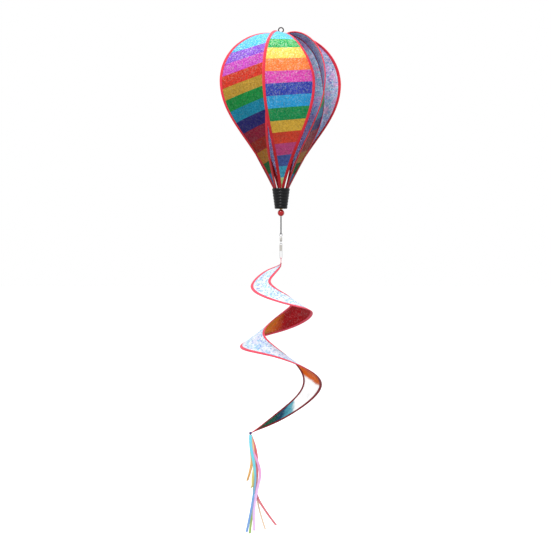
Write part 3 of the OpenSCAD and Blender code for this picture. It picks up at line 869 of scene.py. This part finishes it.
def stitch_tree(thread):
    """Sets stitches along lines. Each line's points keep in "stand" the way its stitches face."""
    tree = bpy.data.node_groups.new("stitch_rows", "GeometryNodeTree")
    face = tree.interface
    face.new_socket("Lines", in_out="INPUT", socket_type="NodeSocketGeometry")
    for name, size in (("Pitch", 3.4 * MM), ("Stitch Length", 2.6 * MM), ("Thread Thickness", 0.42 * MM)):
        face.new_socket(name, in_out="INPUT", socket_type="NodeSocketFloat").default_value = size
    face.new_socket("Seed", in_out="INPUT", socket_type="NodeSocketInt").default_value = 5
    face.new_socket("Stitches", in_out="OUTPUT", socket_type="NodeSocketGeometry")
    make = Maker(tree)
    lines, pitch, length, thick, seed = make.outputs(
        "NodeGroupInput", ["Lines", "Pitch", "Stitch Length", "Thread Thickness", "Seed"])
    curve = make.value("GeometryNodeMeshToCurve", 0, {}, {0: lines})
    spaced = make.value("GeometryNodeResampleCurve", 0, {"mode": "LENGTH"}, {"Curve": curve, "Length": pitch})
    tangent = make.value("GeometryNodeInputTangent", 0)
    stand = make.value("GeometryNodeInputNamedAttribute", 0, {"data_type": "FLOAT_VECTOR"}, {"Name": "stand"})
    turned = make.value("FunctionNodeAlignRotationToVector", 0, {"axis": "X"}, {"Vector": tangent})
    facing = make.value("FunctionNodeAlignRotationToVector", 0, {"axis": "Z", "pivot_axis": "X"},
                        {"Rotation": turned, "Vector": stand})
    size = make.value("ShaderNodeCombineXYZ", 0, {}, {0: length * 0.5, 1: thick * 0.5, 2: thick * 0.5})
    ball = make.value("GeometryNodeMeshUVSphere", 0, {}, {"Segments": 6, "Rings": 4, "Radius": 1.0})
    stitch = make.value("GeometryNodeTransform", 0, {}, {"Geometry": ball, "Scale": size})
    uneven = make.value("FunctionNodeRandomValue", 0, {"data_type": "FLOAT_VECTOR"},
                        {0: (0.88, 0.85, 0.9), 1: (1.08, 1.1, 1.1), "Seed": seed})
    placed = make.value("GeometryNodeInstanceOnPoints", 0, {},
                        {"Points": spaced, "Instance": stitch, "Rotation": facing, "Scale": uneven})
    real = make.value("GeometryNodeRealizeInstances", 0, {}, {0: placed})
    inked = make.value("GeometryNodeSetMaterial", 0, {}, {"Geometry": real, "Material": thread})
    make.add("NodeGroupOutput", {}, {0: inked})
    return tree


def stitch_lines(name, strip, skip):
    """Lines of points just inside the lips of both bindings, on both sides of the film."""
    points, stands, edges = [], [], []
    for from_second in (False, True):
        for side in (1, -1):
            start = len(points)
            for row in range(skip, strip.rows - skip, 2):
                inward = strip.band[row] - 1.3 * MM
                points.append(strip.place(row, inward, side * (BAND_HALF + 0.04 * MM), from_second))
                stands.append(side * strip.out[row])
            edges += [(i, i + 1) for i in range(start, len(points) - 1)]
    mesh = bpy.data.meshes.new(name)
    mesh.from_pydata([list(p) for p in points], edges, [])
    note(mesh, "stand", stands)
    return mesh


def sew(name, lines, tree, thread, body):
    """Runs the stitch tree on the lines, and leaves a plain mesh that rides on the body."""
    carrier = bpy.data.objects.new(name + "_lines", lines)
    scene.collection.objects.link(carrier)
    rows = carrier.modifiers.new("stitch_rows", "NODES")
    rows.node_group = tree
    bpy.context.view_layer.update()
    sewn = bpy.data.meshes.new_from_object(carrier.evaluated_get(bpy.context.evaluated_depsgraph_get()))
    carrier.modifiers.clear()
    bpy.data.objects.remove(carrier)
    return piece(name, sewn, [thread], body)


# The pieces

def add_streamers(materials):
    first, second = (np.array(p) for p in tail_edges(1))
    knot = (first + second) / 2 - np.array([KNOT_R * 0.5, 0, KNOT_R * 0.3])
    half_w, half_t, bevel = RIBBON_W / 2, RIBBON_T / 2, 0.15 * MM
    section = [(half_w, half_t - bevel), (half_w - bevel, half_t), (half_w * 0.5, half_t), (0, half_t),
               (-half_w * 0.5, half_t), (bevel - half_w, half_t), (-half_w, half_t - bevel),
               (-half_w, bevel - half_t), (bevel - half_w, -half_t), (-half_w * 0.5, -half_t), (0, -half_t),
               (half_w * 0.5, -half_t), (half_w - bevel, -half_t), (half_w, bevel - half_t)]
    for number, (colour, route) in enumerate(STREAMERS.items(), 1):
        stations = np.array(route, float)
        rings, cuts, path = [], [], []
        run = 0.0
        for s in np.linspace(0, 1, RIBBON_ROWS):
            across, back, down, turn = through(stations, s)
            centre = knot + np.array([across, back, -down]) * MM
            c, t = math.cos(math.radians(turn)), math.sin(math.radians(turn))
            run += float(np.linalg.norm(centre - path[-1])) if path else 0.0
            path.append(centre)
            rings.append([centre + np.array([x * c - y * t, x * t + y * c, 0]) for x, y in section])
            cuts.append([[x, run, 0] for x, y in section])
        mesh = loft("streamer_ribbon_" + colour, np.array(rings))
        note(mesh, "cut", np.array(cuts).reshape(-1, 3))
        face_outwards(mesh)
        ribbon = piece("ribbon_" + colour, mesh, [materials[colour]], "streamers",
                       [f"streamer_{number}"], 60)
    return knot


def add_knot(knot, thread):
    """The thread wound round the tail's tip and the streamers' upper ends."""
    steps = KNOT_TURNS * 22
    wound_r = KNOT_R - KNOT_THREAD_R
    path = []
    for i in range(steps + 1):
        share = i / steps
        lift = math.pi * (0.08 + 0.84 * share)
        angle = math.tau * KNOT_TURNS * share
        radius = wound_r * math.sin(lift)
        path.append(knot + np.array([radius * math.cos(angle), radius * math.sin(angle),
                                     wound_r * math.cos(lift)]))
    winding = tube("knot_winding", path, KNOT_THREAD_R, 8)
    core_r = KNOT_R - 0.5 * MM
    steps = [(max(0.05 * MM, core_r * math.sin(a)), core_r * math.cos(a))
             for a in np.linspace(0.02, math.pi - 0.02, 14)]
    turns = np.linspace(0, math.tau, 24, endpoint=False)
    core = loft("knot_core", np.array([[knot + np.array([r * math.cos(b), r * math.sin(b), z]) for b in turns]
                                       for r, z in steps]))
    face_outwards(core)
    piece("tail_knot", joined("tail_knot", [winding, core]), [thread], "tail", ["streamer_knot"],
          60)


def leaf_strip(k, rows):
    """Leaf k's strip of film. Leaf 1 is at the front."""
    def middle(u):
        lead, trail = lead_edge(u), trail_edge(u)
        a = around(lead[0], LEAD_ANGLE, lead[1])
        b = around(trail[0], LEAD_ANGLE + spread(trail[1]), trail[1])
        return [(p + q) / 2 for p, q in zip(a, b)]
    turn = 360 / LEAVES * (k - 1)
    first, second = [], []
    for u in even_steps(middle, -1, 3, rows):
        lead, trail = lead_edge(u), trail_edge(u)
        first.append(around(lead[0], LEAD_ANGLE + turn, lead[1]))
        second.append(around(trail[0], LEAD_ANGLE + turn + spread(trail[1]), trail[1]))
    return Strip(first, second)


def stripe_numbers(strip, mesh, shift, tilt):
    """Each point's place in the stripes, counted from the top."""
    inward, down, _ = cut_places(mesh).T
    width = np.interp(down, strip.down, strip.width)
    fall = np.interp(down, strip.down, strip.first[:, 2] - strip.second[:, 2])
    steep = np.interp(down, strip.down, np.abs(np.gradient(strip.middle[:, 2], strip.down)))
    share = inward / width - 0.5
    return (down - STRIPE_START - shift + (fall + tilt * width) * share / np.maximum(steep, 0.55)) / STRIPE_W


def add_leaves(films, silver, tape, spring, thread, tree):
    for k in range(1, LEAVES + 1):
        strip = leaf_strip(k, LEAF_ROWS)
        mesh = film_mesh(f"leaf_{k}_film", strip, LEAF_COLUMNS, LEAF_BUCKLE)
        dyes_and_shade, shift = (STRIPES_ODD, 0) if k % 2 else (STRIPES_EVEN, EVEN_SHIFT)
        numbers = stripe_numbers(strip, mesh, shift, STRIPE_TILT[k % 2])
        note(mesh, "stripe", np.clip(numbers, 0, len(dyes_and_shade) - 0.01))
        film = piece(f"leaf_{k}_film", mesh, [films[k % 2], silver], "balloon",
                     [f"leaf_{k}_panel"])
        taped = joined(f"leaf_{k}_tape", [tape_mesh("tape", strip, side) for side in (False, True)])
        binding = piece(f"leaf_{k}_tape", taped, [tape], "balloon", [f"leaf_{k}_binding"], 60)
        sprung = joined(f"leaf_{k}_hem", [hem_mesh("hem", strip, side) for side in (False, True)])
        hem = piece(f"leaf_{k}_hem", sprung, [spring], "balloon", [f"leaf_{k}_springs"])
        seam = sew(f"leaf_{k}_stitches", stitch_lines("stitch_lines", strip, 12), tree, thread, "balloon")
        strip.area()


def add_tail(silver, print_and_painted_light, tape, thread, tree):
    steps = even_steps(lambda s: np.mean(tail_edges(s), axis=0), 0, 1, TAIL_ROWS)
    strip = Strip([tail_edges(s)[0] for s in steps], [tail_edges(s)[1] for s in steps])
    mesh = film_mesh("tail_film", strip, TAIL_COLUMNS, TAIL_BUCKLE)
    note(mesh, "stripe", cut_places(mesh)[:, 1] / strip.down[-1])
    film = piece("tail_film", mesh, [silver, print_and_painted_light], "tail", ["tail_panel"])
    for name, side in (("outer", False), ("inner", True)):
        bound = tape_mesh(f"tail_{name}_tape", strip, side)
        piece(f"tail_{name}_tape", bound, [tape], "tail",
                            [f"tail_{name}_binding"], 60)
    sew("tail_stitches", stitch_lines("stitch_lines", strip, 10), tree, thread, "tail")


def add_basket(plastic):
    """The moulded cup: seven stepped ribs with rounded edges and a hollow inside."""
    slope = (RIM_R - FLOOR_R) / BASKET_H
    rib_h, rib_out = BASKET_H / BASKET_RIBS, 0.9 * MM
    profile = []
    for rib in range(BASKET_RIBS):
        for step in np.linspace(0, 1, 9)[:-1]:
            down = (rib + step) * rib_h
            swell = rib_out * math.sin(math.pi * step) ** 0.6
            profile.append((RIM_R - rib_out - slope * down + swell, RIM_Z - down))
    hole = WIRE_R + 0.9 * MM
    inner_z = FLOOR_Z + BASKET_WALL
    profile += [(FLOOR_R - rib_out, FLOOR_Z), (hole, FLOOR_Z), (hole, inner_z)]

    def inside(z):
        return RIM_R - BASKET_WALL - slope * (RIM_Z - z)
    profile += [(inside(inner_z) - rib_out, inner_z), (inside(RIM_Z - 12 * MM) - 0.2 * MM, RIM_Z - 12 * MM),
                (inside(RIM_Z) - 0.2 * MM, RIM_Z)]
    piece("basket_cup", lathe("basket_cup", profile, 128), [plastic], "balloon", ["basket"],
          50)


def add_bead(plastic):
    hole = WIRE_R + FIT
    start = math.asin(hole / BEAD_R)
    profile = [(BEAD_R * math.sin(a), BEAD_Z + BEAD_R * math.cos(a))
               for a in np.linspace(start, math.pi - start, 40)]
    piece("red_bead", lathe("red_bead", profile, 80), [plastic], "bead", ["bead"], 50)


def add_wire(steel):
    """One wire, bent into an eye at each end. Each eye's end comes back to lie on the shank."""
    top = [[HANG_RING_R * math.sin(a), 0, -HANG_RING_R * math.cos(a)]
           for a in np.linspace(0, math.radians(352), 64)]
    shank = [[0, 0, z] for z in np.linspace(LOWER_EYE_Z + LOWER_RING_R, -HANG_RING_R, 40)]
    low = [[0, LOWER_RING_R * math.sin(a), LOWER_EYE_Z + LOWER_RING_R * math.cos(a)]
           for a in np.linspace(math.radians(352), 0, 64)]
    path = low[:-1] + shank + top[1:]
    piece("center_wire_bent", tube("center_wire_bent", path, WIRE_R, 24), [steel], "wire", ["center_wire"],
          70)


def add_small_parts(finishes):
    parts = [
        ("top_stop", "top_crimp", "crimped_steel", "wire"),
        ("bottom_stop", "bottom_crimp", "crimped_steel", "wire"),
        ("leaf_clamp_cap", "clamp_cap", "red_plastic", "balloon"),
        ("leaf_clamp_washer", "clamp_washer", "red_plastic", "balloon"),
        ("basket_plug", "plug", "cork_plug", "balloon"),
        ("basket_bush", "bush", "bush_plastic", "balloon"),
        ("swivel_link", "upper_link", "bright_wire", "swivel"),
        ("swivel_barrel", "barrel", "bright_barrel", "barrel"),
        ("swivel_ring", "lower_link", "bright_wire", "barrel"),
        ("snap_frame", "snap_wire", "bright_wire", "snap"),
        ("snap_clasp", "snap_sleeve", "bright_barrel", "snap"),
        ("snap_latch", "snap_arm", "bright_wire", "latch"),
        ("tail_tab", "tab", "red_tape", "tail"),
        ("tail_eyelet", "eyelet", "eyelet_steel", "tail"),
    ]
    for node, name, slot, body in parts:
        polished_copy(node, name, finishes[slot], body)


# Light and stage

def soft_light(name, place, aim, size, power):
    lamp = bpy.data.lights.new(name, "AREA")
    lamp.shape = "DISK"
    lamp.size = size
    lamp.energy = power
    made = bpy.data.objects.new(name, lamp)
    made.location = place
    made.rotation_euler = (Vector(aim) - Vector(place)).to_track_quat("-Z", "Y").to_euler()
    scene.collection.objects.link(made)


def add_studio(paint):
    """A pale floor under the spinner and a bright dome of light that is dimmer from below."""
    world = bpy.data.worlds.new("studio")
    scene.world = world
    world.use_nodes = True
    make = Maker(world.node_tree)
    direction = make.value("ShaderNodeTexCoord", "Generated")
    height = make.value("ShaderNodeSeparateXYZ", "Z", {}, {0: direction})
    level = make.value("ShaderNodeMapRange", 0, {}, {0: height, 1: -1.0, 2: 1.0})
    dome = make.value("ShaderNodeValToRGB", 0, {"stops": [
        (0.0, (0.6, 0.6, 0.61, 1)), (0.34, (0.7, 0.7, 0.71, 1)), (0.46, WHITE), (0.62, WHITE),
        (0.72, (0.6, 0.6, 0.62, 1)), (1.0, (0.7, 0.7, 0.72, 1))]}, {0: level})
    sky = make.value("ShaderNodeBackground", 0, {}, {0: dome, 1: 1.0})
    make.add("ShaderNodeOutputWorld", {}, {0: sky})
    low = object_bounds()[0][2] - 0.02
    mesh = bpy.data.meshes.new("floor")
    mesh.from_pydata([(-40, -8, low), (40, -8, low), (40, 60, low), (-40, 60, low)], [], [(0, 1, 2, 3)])
    mesh.materials.append(paint)
    floor = bpy.data.objects.new("floor", mesh)
    scene.collection.objects.link(floor)
    floor.visible_diffuse = False
    floor.visible_glossy = False
    floor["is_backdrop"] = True
    soft_light("key", (-0.5, -1.9, 1.3), (0, 0, -0.25), 1.0, 44)
    soft_light("top", (0.3, 0.2, 1.6), (0, 0, -0.4), 1.6, 30)
    scene.view_settings.view_transform = "Standard"


def main():
    place_camera()
    ribbons = {colour: satin_ribbon("ribbon_" + colour, *tones) for colour, tones in RIBBON_DYES.items()}
    knot = add_streamers(ribbons)
    # painted light and shade: pinker at the top where the light falls, dark red lower down where the leaves
    # are in shade
    red = woven_tape("red_tape", LEAF_LENGTH, [
        (0.0, dye(240, 80, 100)), (0.45, dye(234, 52, 72)), (0.75, dye(182, 16, 28)), (1.0, dye(156, 8, 20))])
    thread = sewing_thread("red_thread", dye(196, 20, 40), dye(120, 8, 22))
    add_knot(knot, sewing_thread("purple_thread", dye(96, 66, 140), dye(50, 30, 86)))
    tree = stitch_tree(thread)
    leaf_silver = silver_film("leaf_silver", [(0.3, dye(164, 184, 226)), (0.42, dye(222, 184, 238)),
                                              (0.52, dye(172, 214, 244)), (0.68, dye(244, 190, 222))],
                              3.2 * MM, 0.22)
    tail_silver = silver_film("tail_silver", [(0.25, dye(176, 208, 250)), (0.5, dye(234, 245, 253)),
                                              (0.75, dye(206, 206, 250))], 4 * MM, 0.34)
    films = {0: striped_film("leaf_film_even", STRIPES_EVEN, 4.0),
             1: striped_film("leaf_film_odd", STRIPES_ODD, 8.5)}
    spring = drawn_wire("spring_steel", dye(170, 170, 172), 0.25, 0.45)
    add_leaves(films, leaf_silver, red, spring, thread, tree)
    # painted light and shade: pink where the tail's tape is lit, dark maroon from 0.7 along as painted shade
    # on its underside
    pink = woven_tape("tail_tape", TAIL_LENGTH, [
        (0.0, dye(246, 88, 112)), (0.62, dye(242, 80, 104)), (0.7, dye(146, 14, 32)),
        (0.96, dye(150, 16, 34)), (1.0, dye(222, 62, 82))])
    add_tail(tail_silver, tail_film("tail_film"), pink, thread, tree)
    add_basket(moulded_plastic("black_plastic", dye(8, 8, 9), dye(20, 20, 22), 0.28, 0.45, 0.1, 0.22))
    add_bead(moulded_plastic("red_bead", dye(172, 10, 18), dye(188, 40, 42), 0.12, 0.3, 0.4, 0.3))
    add_wire(drawn_wire("dark_wire", dye(58, 56, 58), 0.3, 0.5))
    add_small_parts({
        "crimped_steel": turned_metal("crimped_steel", dye(190, 190, 190)),
        "red_plastic": moulded_plastic("red_plastic", dye(200, 30, 44), dye(220, 80, 80), 0.25, 0.45, 0.3),
        "cork_plug": cork("cork_plug"),
        "bush_plastic": moulded_plastic("bush_plastic", dye(216, 170, 80), dye(230, 200, 140), 0.3, 0.5, 0.2),
        "bright_wire": drawn_wire("bright_wire", dye(214, 216, 220), 0.15, 0.3),
        "bright_barrel": turned_metal("bright_barrel", dye(216, 214, 208)),
        "eyelet_steel": turned_metal("eyelet_steel", dye(200, 200, 202)),
        "red_tape": red,
    })
    add_studio(pale_paint("floor_paint"))


main()
